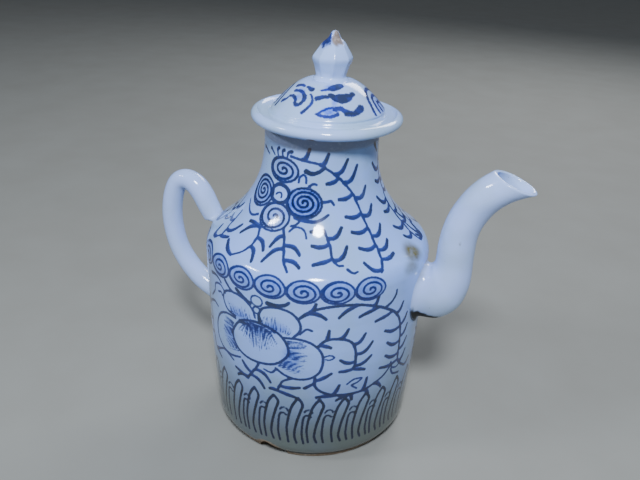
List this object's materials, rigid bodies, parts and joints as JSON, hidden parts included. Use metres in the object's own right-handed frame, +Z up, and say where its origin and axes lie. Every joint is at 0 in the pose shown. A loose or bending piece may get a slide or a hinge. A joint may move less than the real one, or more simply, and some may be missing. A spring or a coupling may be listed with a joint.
{
  "type": "lidded ewer",
  "caption": "Small lidded porcelain ewer: straight-sided pot, sloping shoulder and neck, swan-neck spout, round ear handle, domed lid with a bud knob, painted in cobalt blue.",
  "frame": {"origin": "middle of the foot ring's standing face, on the pot's axis, where the pot stands on the table", "axes": "+Z up along the pot's axis, +X towards the spout, -X towards the handle"},
  "size_m": [0.1495, 0.087, 0.1592],
  "materials": {
    "glazed_pot": "glossy, painted in cobalt under the glaze",
    "plain_glaze": "glossy",
    "glazed_lid": "glossy, painted in cobalt under the glaze",
    "bare_foot": "matt, unglazed",
    "bare_flange": "matt, unglazed"
  },
  "bodies": {
    "pot": {"foot_ring": "bare_foot", "pot_wall": "glazed_pot", "shoulder_neck": "glazed_pot", "spout": "plain_glaze", "spout_lute": "plain_glaze", "handle": "plain_glaze", "handle_upper_lute": "plain_glaze", "handle_lower_lute": "plain_glaze"},
    "lid": {"lid_cover": "glazed_lid", "lid_flange": "bare_flange", "lid_knob": "glazed_lid"}
  },
  "joints": [
    {"name": "lid_lift", "type": "slide", "parent": "pot", "child": "lid", "axis": [0, 0, 1], "range_m": [0, 0.06]}
  ]
}
